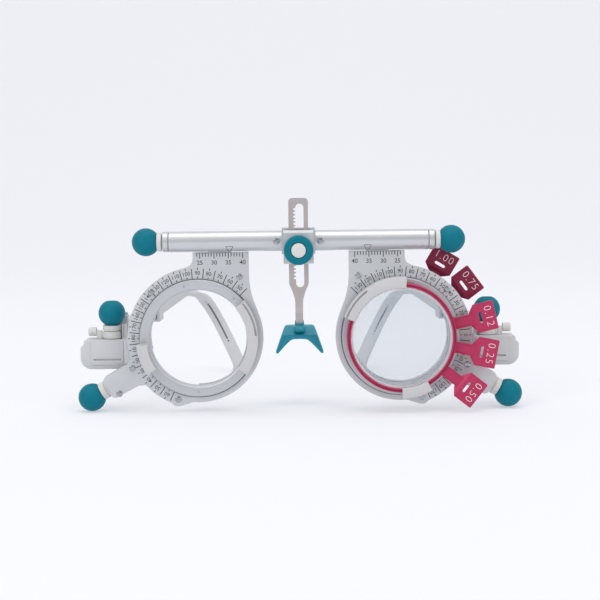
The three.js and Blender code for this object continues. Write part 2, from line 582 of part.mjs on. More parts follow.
/** The arm: a flat bar that slides in the carrier's sleeve, then an ear hook bent down and inwards. */
function templeArm(side) {
  const straight = bar(side, [9, 76], [1.75, 4.15], [-2.5, 2.5]);
  const along = armWay(side);
  const start = new THREE.Vector3(side * HINGE.x, HINGE.y, HINGE.z).addScaledVector(along, 75.5);
  start.add(new THREE.Vector3(-side * 2.95 * along.y, side * 2.95 * along.x, 0));
  const hook = [
    [-1.2, 4, 0.4], [-4.6, 9, -1.2], [-9, 12, -5.5], [-13.4, 13, -13], [-17.6, 12.6, -21.5], [-21.4, 11.4, -29.5],
    [-22.6, 10.8, -33],
  ];
  const points = [start, ...hook.map(([x, y, z]) => start.clone().add(new THREE.Vector3(side * x, y, z)))];
  const path = new THREE.CatmullRomCurve3(points);
  const section = shapeOf([[-1.1, -2.6], [1.1, -2.6], [1.1, 2.6], [-1.1, 2.6]]);
  const band = new THREE.ExtrudeGeometry(section, { extrudePath: path, steps: 16, bevelEnabled: false });
  const tip = points[points.length - 1];
  const foot = box(
    [tip.x - 2.9, tip.x + 2.9], [tip.y - 2.2, tip.y + 2.2], [-TUBE_HEIGHT, tip.z + 1.4],
  );
  return join(straight, solid(band), foot);
}

for (const [side, label] of [[-1, 'left'], [1, 'right']]) {
  const screwOrigin = [side * TILT_SCREW.x, TILT_SCREW.y, 0];
  add(`temple_lug_${label}`, templeLug(side), palePlastic);
  add(`temple_housing_${label}`, templeHousing(side), palePlastic);
  add(`tilt_screw_${label}`, turned([
    [0, -37.3], [SPINDLE_R, -37.3], [SPINDLE_R, -35.05], [3.4, -35.05], [3.4, -32.5], [2.8, -32.4], [2.8, -32.2],
    [3.4, -32.1], [3.4, -30.3], [SPINDLE_R, -30.3], [SPINDLE_R, -27.6], [0, -27.6],
  ], screwOrigin, ALONG_Z, 24), whitePlastic);
  add(`tilt_ball_${label}`, ball(
    TILT_BALL_R, TILT_BALL_FLAT, SPINDLE_R + 0.1, 2.8, TILT_BALL_Z, screwOrigin, ALONG_Z,
  ), tealRubber);
  const lockPost = box([side * 71.1, side * 72.9], [12, 14.4], [HOUSING_Z[1] + 0.1, -32.2]);
  add(`temple_lock_knob_${label}`, join(lockPost, turned([
    [0, 72.4], [1.2, 72.4], [1.2, 73], [1.6, 73.2], [1.6, 75.6], [1.3, 75.9], [0, 75.9],
  ], [0, 13.2, -32.6], [side, 0, 0], 20)), whitePlastic);
  add(`hinge_pin_${label}`, turned([
    [0, -5.8], [1.9, -5.8], [1.9, -5.1], [SPINDLE_R, -5.1], [SPINDLE_R, 5.1], [1.9, 5.1], [1.9, 5.8], [0, 5.8],
  ], [side * HINGE.x, HINGE.y, HINGE.z], ALONG_Z, 20), steel);
  add(`temple_carrier_${label}`, templeCarrier(side), palePlastic);
  add(`temple_arm_${label}`, templeArm(side), palePlastic);
}

export default model;
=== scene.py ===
import math

import bmesh
import bpy
from mathutils import Matrix, Vector


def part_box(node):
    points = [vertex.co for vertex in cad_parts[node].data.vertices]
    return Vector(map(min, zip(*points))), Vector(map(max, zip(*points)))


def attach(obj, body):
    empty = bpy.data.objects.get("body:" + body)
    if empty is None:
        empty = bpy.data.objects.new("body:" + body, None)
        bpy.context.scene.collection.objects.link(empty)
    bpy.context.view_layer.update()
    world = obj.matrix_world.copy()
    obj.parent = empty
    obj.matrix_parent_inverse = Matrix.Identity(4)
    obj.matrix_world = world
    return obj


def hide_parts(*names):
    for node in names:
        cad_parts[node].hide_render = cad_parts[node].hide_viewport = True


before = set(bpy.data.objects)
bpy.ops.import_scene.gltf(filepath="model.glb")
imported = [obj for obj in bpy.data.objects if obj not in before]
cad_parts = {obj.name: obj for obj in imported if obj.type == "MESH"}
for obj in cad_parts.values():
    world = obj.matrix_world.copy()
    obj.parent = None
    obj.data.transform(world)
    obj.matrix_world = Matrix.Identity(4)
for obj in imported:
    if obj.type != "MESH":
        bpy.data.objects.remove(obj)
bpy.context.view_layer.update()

# An optician's adjustable trial frame. Lengths are in millimetres from the middle of the bridge tube's axis:
# X along the tube, Y back towards the wearer, Z up. Everything is turned to metres in the part's
# own frame at the end.
TUBE_LOW, TUBE_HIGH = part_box("bridge_tube")
ORIGIN = (TUBE_LOW + TUBE_HIGH) / 2
MM = 0.001
SIDES = ((-1, "left"), (1, "right"))
TO_ROW = Matrix.Translation(ORIGIN) @ Matrix.Scale(MM, 4)

TUBE_R, TUBE_BORE, TUBE_HALF, CAP_END = 3.6, 2.8, 45.4, 47.6
SPINDLE_R = 1.2
RIM_X, RIM_Z = 35.5, -33.8
PLATE_HALF, SCALE_R, NASAL_R, RIM_HOLE_R = 0.8, 25.0, 22.8, 20.8
APERTURE_R, CELL_FRONT, CROWN_ROOT = 16.9, -2.2, 1.7
LEFT_CELL_TURN = -55.5
BACK_FROM, BACK_TO = 3.0, 4.2
ARM_ANGLE, ARM_HALF_WIDTH, ARM_END, ARM_BACK = -29, 4.2, 36.8, 6.2
AXIS_Y = 4.1
RING_R, RING_BORE, RING_HALF = 19.0, 17.7, 0.65
CLIP_FRONT, CLIP_BACK = -9.5, 8.8
FRONT_EXIT, REAR_EXIT = 12.5, 75
NOSE_KNOB_Z = -2.75
TILT_SCREW_X, TILT_SCREW_Y, TILT_BALL_Z = 67.4, 13.2, -26.0
HINGE = Vector((64.5, 22.6, -32.4))
ARM_TOE_IN, ARM_RISE = math.radians(10.5), math.radians(5.4)
LENSES = (("012", "0.12", -4.35, 13), ("025", "0.25", -6.25, -11), ("050", "0.50", -8.15, -38),
          ("075", "0.75", 5.65, 36.5), ("100", "1.00", 7.55, 59))

ALONG_X, ALONG_Y, ALONG_Z = Vector((1, 0, 0)), Vector((0, 1, 0)), Vector((0, 0, 1))
CENTRE = Vector((0, 0, 0))


# ---- Camera ------------------------------------------------------------------------------------

def add_camera():
    """A long lens a little above the frame's middle, so the rims are seen almost square on."""
    data = bpy.data.cameras.new("view_camera")
    camera = bpy.data.objects.new("view_camera", data)
    bpy.context.collection.objects.link(camera)
    aim = TO_ROW @ Vector((0.3, 0, -20.9))
    elevation, distance, roll = math.radians(5), 0.55, math.radians(-0.66)
    camera.location = aim + distance * Vector((0, -math.cos(elevation), math.sin(elevation)))
    facing = (aim - camera.location).to_track_quat("-Z", "Y")
    camera.rotation_euler = (facing.to_matrix() @ Matrix.Rotation(roll, 3, "Z")).to_euler()
    data.lens = 94
    data.sensor_width = 36
    data.clip_start, data.clip_end = 0.01, 20
    bpy.context.scene.camera = camera


add_camera()


# ---- Materials ---------------------------------------------------------------------------------

def linear(code):
    """An sRGB hex colour as the linear colour the shaders take."""
    parts = [int(code[i:i + 2], 16) / 255 for i in (1, 3, 5)]
    return tuple(c / 12.92 if c <= 0.04045 else ((c + 0.055) / 1.055) ** 2.4 for c in parts) + (1.0,)


def add(tree, kind, links=None, **settings):
    """Adds a node, sets its inputs or properties, and links {input: (node, output)} into it."""
    node = tree.nodes.new(kind)
    for key, value in settings.items():
        if key in node.inputs:
            node.inputs[key].default_value = value
        else:
            setattr(node, key.lower().replace(" ", "_"), value)
    for key, (source, output) in (links or {}).items():
        tree.links.new(source.outputs[output], node.inputs[key])
    return node


def finish_of(name, base, worn, roughness, metallic=0.0, grain=0.15, bump=0.02, stretch=(1, 1, 1),
              **sockets):
    """A surface whose colour and roughness drift a little, with fine grain of a real size in millimetres."""
    material = bpy.data.materials.new(name)
    material.use_nodes = True
    tree = material.node_tree
    shader = tree.nodes["Principled BSDF"]
    place = add(tree, "ShaderNodeTexCoord")
    scaled = add(tree, "ShaderNodeMapping", {"Vector": (place, "Object")}, Scale=stretch)
    fine = add(tree, "ShaderNodeTexNoise", {"Vector": (scaled, "Vector")}, Scale=1 / (grain * MM),
               Detail=3.0)
    broad = add(tree, "ShaderNodeTexNoise", {"Vector": (place, "Object")}, Scale=1 / (9 * MM), Detail=2.0)
    tone = add(tree, "ShaderNodeMix", {"Factor": (broad, "Fac")}, data_type="RGBA")
    tone.inputs["A"].default_value = linear(base)
    tone.inputs["B"].default_value = linear(worn)
    spread = add(tree, "ShaderNodeMapRange", {"Value": (fine, "Fac")})
    spread.inputs["To Min"].default_value = max(roughness - 0.06, 0.01)
    spread.inputs["To Max"].default_value = roughness + 0.06
    relief = add(tree, "ShaderNodeBump", {"Height": (fine, "Fac")}, Strength=bump, Distance=0.05 * MM)
    tree.links.new(tone.outputs["Result"], shader.inputs["Base Color"])
    tree.links.new(spread.outputs["Result"], shader.inputs["Roughness"])
    tree.links.new(relief.outputs["Normal"], shader.inputs["Normal"])
    shader.inputs["Metallic"].default_value = metallic
    for key, value in sockets.items():
        shader.inputs[key.replace("_", " ")].default_value = value
    return material


# Satin anodised aluminium tube: drawn lengthwise, so its fine lines run along X.
TUBE_ALUMINIUM = finish_of("satin_anodised_tube", "#d3d4d7", "#cecfd3", 0.36, 0.7, 0.08, 0.01, (0.06, 1, 1))
# Bead-blasted anodised dial plate: an even pale grey with a very fine grain.
DIAL_ALUMINIUM = finish_of("blasted_anodised_dial", "#cdcfd2", "#c8cacd", 0.5, 0.3, 0.10, 0.08)
# Finer, darker anodised metal of the turning cells and the nose saddle.
CELL_ALUMINIUM = finish_of("satin_anodised_cell", "#c9cbcf", "#c3c5c9", 0.4, 0.5, 0.10, 0.05)
# White acetal of clips, collars and screws: smooth moulded, slightly warm.
WHITE_ACETAL = finish_of("moulded_white_acetal", "#dddcd9", "#d7d6d3", 0.42, 0.0, 0.3, 0.03, IOR=1.48)
# The same acetal left natural for the lens clips, a little greyer and duller.
CLIP_ACETAL = finish_of("natural_acetal_clips", "#cdcccd", "#c8c7c8", 0.5, 0.0, 0.3, 0.03, IOR=1.48)
# Pale grey ABS of the temple parts: a fine spark-eroded texture.
PALE_ABS = finish_of("moulded_pale_abs", "#cfd0d2", "#c9cacc", 0.5, 0.0, 0.2, 0.06, IOR=1.53)
# Warm rolled spring steel of the nose rack, with lines along its length.
RACK_STEEL = finish_of("rolled_spring_steel", "#c4bcba", "#bab2b0", 0.38, 0.6, 0.10, 0.10, (1, 1, 0.08))
# Bright turned steel of screws, nuts and pins.
BRIGHT_STEEL = finish_of("turned_bright_steel", "#b4b6b9", "#a6a8ab", 0.24, 1.0, 0.15, 0.05)
# Soft-touch teal rubber of the ball knobs: matt with a faint bloom.
TEAL_RUBBER = finish_of("soft_touch_teal", "#02788a", "#017082", 0.5, 0.0, 0.22, 0.06,
                        Specular_IOR_Level=0.16)
# Clear-toned teal silicone of the nose pad, brighter and smoother than the knobs.
PAD_SILICONE = finish_of("teal_silicone", "#0492aa", "#0389a1", 0.45, 0.0, 0.3, 0.05, Subsurface_Weight=0.12)
# Magenta anodised aluminium of the lens rings. The rear rings get a darker copy of it, which is painted
# shade for rings lying in shade behind the front ones.
RING_MAGENTA = finish_of("magenta_anodised", "#c03360", "#b42c57", 0.42, 0.3, 0.10, 0.06)
RING_MAGENTA_PAINTED_SHADE = finish_of("magenta_anodised_painted_shade", "#8c1a40", "#7c1438", 0.42, 0.3, 0.10, 0.06)
# Etched black filling of the graduations.
DIAL_INK = finish_of("etched_black_filling", "#34363a", "#2c2e32", 0.6, 0.0, 0.1, 0.05)
# White filling of the engraved lens powers.
WHITE_FILL = finish_of("engraved_white_filling", "#f4eef0", "#ece6e8", 0.55, 0.0, 0.1, 0.05)
# Painted shade: a dark grey laid on a face where the inside of a groove falls into shadow.
GROOVE_PAINTED_SHADE = finish_of("groove_shadow_grey", "#77797d", "#6c6e72", 0.7, 0.0, 0.2, 0.05)


def clear_glass(name, tint, veil, gloss):
    """Thin polished glass: light passes straight through but for a faint veil of the tint."""
    material = bpy.data.materials.new(name)
    material.use_nodes = True
    tree = material.node_tree
    shader = tree.nodes["Principled BSDF"]
    place = add(tree, "ShaderNodeTexCoord")
    haze = add(tree, "ShaderNodeTexNoise", {"Vector": (place, "Object")}, Scale=1 / (20 * MM), Detail=1.0)
    amount = add(tree, "ShaderNodeMapRange", {"Value": (haze, "Fac")})
    amount.inputs["To Min"].default_value = veil * 0.9
    amount.inputs["To Max"].default_value = veil * 1.1
    tree.links.new(amount.outputs["Result"], shader.inputs["Alpha"])
    shader.inputs["Base Color"].default_value = linear(tint)
    shader.inputs["Roughness"].default_value = gloss
    shader.inputs["IOR"].default_value = 1.52
    return material


# Polished ophthalmic crown glass with a faint blue cast.
CROWN_GLASS = clear_glass("polished_crown_glass", "#9db4c8", 0.035, 0.05)
# The ground edge of a lens blank: frosted and nearly white.
GROUND_EDGE = clear_glass("ground_glass_edge", "#eef3f5", 0.3, 0.6)


# ---- Making pieces -----------------------------------------------------------------------------

def new_object(name, mesh):
    piece = bpy.data.objects.new(name, mesh)
    bpy.context.collection.objects.link(piece)
    return piece


def arc(cx, cz, r, start, end, steps=24):
    """Points on an arc, both ends included, angles in degrees."""
    angles = [math.radians(start + (end - start) * i / steps) for i in range(steps + 1)]
    return [(cx + r * math.cos(a), cz + r * math.sin(a)) for a in angles]


def swung(points, angle):
    """Outline points turned about their origin."""
    c, s = math.cos(math.radians(angle)), math.sin(math.radians(angle))
    return [(u * c - v * s, u * s + v * c) for u, v in points]


def on_rim(points, side):
    """Points drawn about the right rim's centre, placed on either side."""
    return [(side * (RIM_X + x), RIM_Z + z) for x, z in points]


def area(points):
    return sum(a[0] * b[1] - b[0] * a[1] for a, b in zip(points, points[1:] + points[:1])) / 2


def plate(name, outline, y0, y1, holes=(), rounding=0.12):
    """A plate in the XZ plane with softly rounded edges."""
    curve = bpy.data.curves.new(name, "CURVE")
    curve.dimensions = "2D"
    curve.fill_mode = "BOTH"
    curve.extrude = (y1 - y0) / 2 - rounding
    curve.bevel_depth = rounding
    curve.bevel_resolution = 1
    curve.offset = -rounding
    for points, winding in [(outline, 1)] + [(hole, -1) for hole in holes]:
        ordered = list(points) if area(list(points)) * winding > 0 else list(points)[::-1]
        spline = curve.splines.new("POLY")
        spline.points.add(len(ordered) - 1)
        for point, (x, z) in zip(spline.points, ordered):
            point.co = (x, z, 0, 1)
        spline.use_cyclic_u = True
    holder = new_object(name, curve)
    mesh = bpy.data.meshes.new_from_object(holder)
    bpy.data.objects.remove(holder)
    mesh.transform(Matrix.Translation((0, (y0 + y1) / 2, 0)) @ Matrix.Rotation(math.pi / 2, 4, "X"))
    bm = bmesh.new()
    bm.from_mesh(mesh)
    bmesh.ops.remove_doubles(bm, verts=bm.verts, dist=1e-4)
    bmesh.ops.recalc_face_normals(bm, faces=bm.faces)
    bm.to_mesh(mesh)
    bm.free()
    return new_object(name, mesh)


def turned(name, profile, origin, direction, steps=72):
    """A turned piece from (radius, distance along) points, closed if it ends where it starts."""
    closed = profile[0] == profile[-1]
    rows = profile[:-1] if closed else profile
    turn = Vector(direction).to_track_quat("Z", "Y").to_matrix()
    bm = bmesh.new()
    rings = []
    for r, h in rows:
        count = 1 if r == 0 else steps
        spots = [Vector((r * math.cos(2 * math.pi * i / steps), r * math.sin(2 * math.pi * i / steps), h))
                 for i in range(count)]
        rings.append([bm.verts.new(origin + turn @ spot) for spot in spots])
    pairs = list(zip(rings, rings[1:])) + ([(rings[-1], rings[0])] if closed else [])
    for low, high in pairs:
        for i in range(steps):
            corners = [low[i % len(low)], low[(i + 1) % len(low)],
                       high[(i + 1) % len(high)], high[i % len(high)]]
            unique = list(dict.fromkeys(corners))
            if len(unique) > 2:
                bm.faces.new(unique)
    bmesh.ops.recalc_face_normals(bm, faces=bm.faces)
    mesh = bpy.data.meshes.new(name)
    bm.to_mesh(mesh)
    bm.free()
    return new_object(name, mesh)


def rod(name, r, start, end, origin, direction, steps=48):
    return turned(name, [(0, start), (r, start), (r, end), (0, end)], origin, direction, steps)


def block(name, x, y, z):
    """A box between limits along each axis, given in any order."""
    bm = bmesh.new()
    bmesh.ops.create_cube(bm, size=1)
    size = [max(pair) - min(pair) for pair in (x, y, z)]
    middle = [sum(pair) / 2 for pair in (x, y, z)]
    bmesh.ops.transform(bm, matrix=Matrix.Translation(middle) @ Matrix.Diagonal((*size, 1)), verts=bm.verts)
    mesh = bpy.data.meshes.new(name)
    bm.to_mesh(mesh)
    bm.free()
    return new_object(name, mesh)


def combine(base, how, *tools):
    """Cuts or joins the tools into the base and removes them."""
    for tool in tools:
        step = base.modifiers.new("work", "BOOLEAN")
        step.operation = how
        step.solver = "EXACT"
        step.object = tool
        bpy.context.view_layer.update()
        mesh = bpy.data.meshes.new_from_object(base.evaluated_get(bpy.context.evaluated_depsgraph_get()))
        base.modifiers.clear()
        base.data = mesh
        bpy.data.objects.remove(tool)
    return base


def merged(name, *objects):
    """One object from several that don't touch or only meet."""
    bm = bmesh.new()
    for item in objects:
        bm.from_mesh(item.data)
        bpy.data.objects.remove(item)
    mesh = bpy.data.meshes.new(name)
    bm.to_mesh(mesh)
    bm.free()
    return new_object(name, mesh)


def fit(piece, body, material, slot, *nodes, bevel=0.0):
    """Finishes a piece: metres, smooth shading, rounded edges, material, body and replaced nodes. The slot
    argument is not used.
    """
    piece.data.transform(TO_ROW)
    piece.data.shade_smooth()
    if bevel:
        edge = piece.modifiers.new("rounded_edges", "BEVEL")
        edge.width = bevel * MM
        edge.segments = 2
        edge.limit_method = "ANGLE"
        edge.angle_limit = math.radians(32)
        edge.harden_normals = True
        edge.use_clamp_overlap = True
    else:
        piece.data.set_sharp_from_angle(angle=math.radians(38))
    piece.data.materials.clear()
    piece.data.materials.append(material)
    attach(piece, body)
    if nodes:
        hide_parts(*nodes)
    return piece


def repaint(node, material, bevel=0.08):
    """A CAD node that is shown as it is, with its own finish and softened edges."""
    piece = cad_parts[node]
    piece.data.materials.clear()
    piece.data.materials.append(material)
    if bevel:
        edge = piece.modifiers.new("rounded_edges", "BEVEL")
        edge.width = bevel * MM
        edge.segments = 1
        edge.limit_method = "ANGLE"
        edge.angle_limit = math.radians(40)


LETTER_MESHES = {}


def lettering(text, size):
    """A flat mesh of generic figures, centred on the origin in the XZ plane, facing the front."""
    key = (text, size)
    if key not in LETTER_MESHES:
        words = bpy.data.curves.new("figures", "FONT")
        words.body = text
        words.size = size
        words.align_x = "CENTER"
        words.align_y = "CENTER"
        words.extrude = 0.012
        words.offset = (-0.022 if size > 3 else 0.004) * size
        words.space_character = 1.16 if size > 3 else 1.0
        words.resolution_u = 3
        holder = new_object("figures", words)
        mesh = bpy.data.meshes.new_from_object(holder)
        bpy.data.objects.remove(holder)
        mesh.transform(Matrix.Rotation(math.pi / 2, 4, "X"))
        LETTER_MESHES[key] = mesh
    return LETTER_MESHES[key]


def stroke(bm, x, z, y, length, width, angle):
    """A thin bar of ink centred at a point, its length along the angle."""
    turn = Matrix.Translation((x, y, z)) @ Matrix.Rotation(-math.radians(angle), 4, "Y")
    size = Matrix.Diagonal((length, 0.024, width, 1))
    bmesh.ops.create_cube(bm, size=1, matrix=turn @ size)


def write(bm, text, size, x, z, y, angle):
    """Figures centred at a point, their up direction along the angle."""
    turn = Matrix.Translation((x, y, z)) @ Matrix.Rotation(math.radians(90 - angle), 4, "Y")
    start = len(bm.verts)
    bm.from_mesh(lettering(text, size))
    bm.verts.ensure_lookup_table()
    bmesh.ops.transform(bm, matrix=turn, verts=bm.verts[start:])


def from_bmesh(name, bm):
    mesh = bpy.data.meshes.new(name)
    bm.to_mesh(mesh)
    bm.free()
    return new_object(name, mesh)


def ball(name, r, flat, at, origin, direction, bore_end, dish=0.0):
    """A ball with a flat and blind bore facing its shaft; the other end may be dished."""
    bore = SPINDLE_R + 0.1
    start = -math.degrees(math.asin(flat / r))
    top = 65 if dish else 90
    curve = arc(0, at, r, start, top, 40)
    lip = [(curve[0][0] - 0.2, at - flat)]
    curve[0] = (curve[0][0] + 0.05, curve[0][1] + 0.2)
    if dish:
        rim_r, rim_h = curve[-1]
        steps = [math.radians(d) for d in range(10, 90, 10)]
        bowl = [(rim_r * math.cos(a), rim_h - dish * math.sin(a)) for a in steps]
        end = bowl + [(0, rim_h - dish)]
    else:
        curve[-1] = (0, curve[-1][1])
        end = []
    profile = [(0, bore_end), (bore, bore_end), (bore, at - flat)] + lip + curve + end
    return turned(name, profile, origin, direction, 72)


def sweep(name, path, across, thick, wide, corner=0.5):
    """A flat bar with rounded corners along a path; across gives its wide direction at each point."""
    section = []
    for cu, cv, start in ((1, 1, 0), (-1, 1, 90), (-1, -1, 180), (1, -1, 270)):
        for a in (start, start + 45, start + 90):
            a = math.radians(a)
            section.append((cu * (thick / 2 - corner) + corner * math.cos(a),
                            cv * (wide / 2 - corner) + corner * math.sin(a)))
    bm = bmesh.new()
    rings = []
    for i, point in enumerate(path):
        way = (path[min(i + 1, len(path) - 1)] - path[max(i - 1, 0)]).normalized()
        broad = (across[i] - way * across[i].dot(way)).normalized()
        side_way = way.cross(broad)
        rings.append([bm.verts.new(point + side_way * u + broad * v) for u, v in section])
    for low, high in zip(rings, rings[1:]):
        for i in range(len(section)):
            j = (i + 1) % len(section)
            bm.faces.new((low[i], low[j], high[j], high[i]))
    bm.faces.new(rings[0])
    bm.faces.new(rings[-1])
    bmesh.ops.recalc_face_normals(bm, faces=bm.faces)
    return from_bmesh(name, bm)


def screw_head(name, x, z, y, r=1.15, turn=35, height=0.35):
    """A slotted cheese head standing on a face that looks to the front."""
    head = turned(name, [(0, 0), (r, 0), (r, height - 0.1), (r - 0.15, height), (0, height)],
                  Vector((x, y, z)), -ALONG_Y, 36)
    slot = block("slot", (-2 * r, 2 * r), (-height - 0.2, -height + 0.22), (-0.16, 0.16))
    slot.data.transform(Matrix.Translation((x, y, z)) @ Matrix.Rotation(math.radians(turn), 4, "Y"))
    return combine(head, "DIFFERENCE", slot)


# ---- Bridge tube -------------------------------------------------------------------------------

def bridge_tube():
    lip = 0.25
    tube = turned("tube_shell", [
        (TUBE_BORE, -TUBE_HALF), (TUBE_R - lip, -TUBE_HALF), (TUBE_R, -TUBE_HALF + lip),
        (TUBE_R, TUBE_HALF - lip),
        (TUBE_R - lip, TUBE_HALF), (TUBE_BORE, TUBE_HALF), (TUBE_BORE, -TUBE_HALF),
    ], CENTRE, ALONG_X, 96)
    cuts = [block("cut", (side * 12, side * 38), (-1, 1), (-6, 0)) for side, _ in SIDES]
    cuts += [rod("cut", 0.8, -5, 0, Vector((side * 7.7, 0, 0)), ALONG_Y, 24) for side, _ in SIDES]
    fit(combine(tube, "DIFFERENCE", *cuts), "root", TUBE_ALUMINIUM, "satin_tube", "bridge_tube")


def pd_marker(side, label):
    """The open triangle on the tube that points at the distance scale, wrapped onto the tube."""
    bm = bmesh.new()
    r = TUBE_R + 0.015
    tip, top, half, width = -78, -26, 1.25, 0.16

    def spot(x, degrees):
        a = math.radians(degrees)
        return Vector((side * 24.1 + x, -r * math.cos(a), r * math.sin(a)))

    sides = [((-half, top), (half, top)), ((half, top), (0, tip)), ((0, tip), (-half, top))]
    for (x0, a0), (x1, a1) in sides:
        across = Vector((x1 - x0, math.radians(a1 - a0) * r)).normalized()
        dx, da = -across.y * width / 2, math.degrees(across.x * width / 2 / r)
        steps = 8
        rows = []
        for i in range(steps + 1):
            t = i / steps
            x, a = x0 + (x1 - x0) * t, a0 + (a1 - a0) * t
            rows.append((bm.verts.new(spot(x + dx, a + da)), bm.verts.new(spot(x - dx, a - da))))
        for (a, b), (c, d) in zip(rows, rows[1:]):
            bm.faces.new((a, b, d, c))
    bmesh.ops.solidify(bm, geom=bm.faces[:], thickness=0.02)
    fit(from_bmesh(f"pd_marker_{label}", bm), "root", DIAL_INK, "dial_plate")


def tube_ends(side, label):
    outward = Vector((side, 0, 0))
    bore = SPINDLE_R + 0.2
    cap = turned(f"end_cap_{label}", [
        (bore, 43.4), (2.65, 43.4), (2.65, TUBE_HALF + 0.12), (TUBE_R - 0.15, TUBE_HALF + 0.12),
        (TUBE_R, TUBE_HALF + 0.27), (TUBE_R, CAP_END - 0.3), (TUBE_R - 0.3, CAP_END), (bore, CAP_END),
        (bore, 43.4),
    ], CENTRE, outward)
    fit(cap, "root", TUBE_ALUMINIUM, "satin_tube", f"tube_end_cap_{label}")
    screw = turned(f"distance_screw_{label}", [
        (0, 0.6), (SPINDLE_R, 0.6), (SPINDLE_R, CAP_END + 0.25), (3.0, CAP_END + 0.25), (3.3, CAP_END + 0.5),
        (3.3, 49.35),
        (3.1, 49.55), (SPINDLE_R, 49.55), (SPINDLE_R, 52.7), (0, 52.7),
    ], CENTRE, outward)
    fit(screw, f"pd_knob_{label}", WHITE_ACETAL, "white_plastic", f"pd_screw_{label}")
    knob = ball(f"distance_ball_{label}", 4.9, 3.8, 53.4, CENTRE, outward, 52.9)
    fit(knob, f"pd_knob_{label}", TEAL_RUBBER, "teal_knob", f"pd_ball_{label}")
    stop = screw_head(f"stop_screw_{label}", side * 7.7, 0, -3.62, 1.2, 20 * side, 0.6)
    stem = rod("stem", 0.6, 2.95, 3.9, Vector((side * 7.7, 0, 0)), -ALONG_Y, 24)
    fit(merged(f"stop_screw_{label}", stop, stem), "root", BRIGHT_STEEL, "bright_steel",
        f"tube_stop_screw_{label}")


bridge_tube()
repaint("screw_centre_bearing", BRIGHT_STEEL, 0)
for side, label in SIDES:
    pd_marker(side, label)
    tube_ends(side, label)


# ---- Nose rest ---------------------------------------------------------------------------------

def nose_knob():
    """A teal ring with a white domed cap in its recess."""
    place = Vector((0, 0, NOSE_KNOB_Z))
    ring = turned("nose_knob", [
        (1, -9.2), (4.3, -9.2), (4.9, -9.5), (5.05, -9.9), (5.05, -12.8), (4.85, -13.25), (4.3, -13.5),
        (3.0, -13.5),
        (2.7, -13.3), (2.7, -12.3), (1, -12.3), (1, -9.2),
    ], place, ALONG_Y, 96)
    fit(ring, "nose_knob", TEAL_RUBBER, "teal_knob", "nose_knob_ring", bevel=0.08)
    steps = [math.radians(d) for d in range(0, 90, 10)]
    dome = [(2.5 * math.cos(a), -13.45 - 0.5 * math.sin(a)) for a in steps]
    cap = turned("nose_knob_cap_dome", [(0, -12.4), (2.5, -12.4)] + dome + [(0, -13.95)], place, ALONG_Y, 64)
    fit(cap, "nose_knob", WHITE_ACETAL, "white_plastic", "nose_knob_cap")


def nose_pad():
    """The saddle: legs that thin to their tips, a sloping shoulder in front, a sleeve on the rack."""
    half = [(0, -31.8), (4.2, -31.8), (5.0, -31.95), (5.5, -32.5), (6.35, -34.7), (8.6, -41.1),
            (8.35, -41.45),
            (7.7, -41.35), (5.6, -39.0), (3.9, -37.3), (3.1, -36.65), (2.2, -36.3), (0, -36.2)]
    outline = half + [(-x, z) for x, z in reversed(half[1:-1])]
    saddle = plate("saddle", outline, 13.5, 22.5, rounding=0.3)
    slope = block("slope", (-12, 12), (-4, 8), (0, 8))
    lean = Matrix.Rotation(math.atan2(2.75, 3.5), 4, "X")
    slope.data.transform(Matrix.Translation((0, 13.5, -34.75)) @ lean)
    combine(saddle, "DIFFERENCE", slope)
    sleeve = sweep("sleeve", [Vector((0, 4.6, -29.35)), Vector((0, 10.5, -31.4)), Vector((0, 14.0, -32.6)),
                              Vector((0, 15.6, -33.1))], [ALONG_X] * 4, 2.3, 3.7, 0.6)
    for vertex in sleeve.data.vertices:
        vertex.co.x *= 0.86 + 0.03 * max(vertex.co.y - 8, 0)
    socket = plate("socket", [(-1.45, -34.6), (1.45, -34.6), (1.45, -27), (-1.45, -27)], 3, 5.2,
                   rounding=0.05)
    combine(sleeve, "DIFFERENCE", socket)
    fit(merged("nose_saddle_pad", saddle, sleeve), "nose_rest", PAD_SILICONE, "pad_silicone", "nose_pad",
        bevel=0.3)


nose_knob()
nose_pad()
repaint("nose_rack", RACK_STEEL, 0.06)
repaint("nose_saddle", CELL_ALUMINIUM, 0.35)
repaint("nose_block", DIAL_ALUMINIUM, 0.3)
repaint("nose_pinion", BRIGHT_STEEL, 0)


# ---- Rims --------------------------------------------------------------------------------------

def rectangle(u0, u1, half):
    return [(u0, -half), (u1, -half), (u1, half), (u0, half)]


def rim_place(side, y=0.0):
    return Vector((side * RIM_X, y, RIM_Z))


def arm_way(side):
    a = math.radians(ARM_ANGLE)
    return Vector((side * math.cos(a), 0, math.sin(a)))


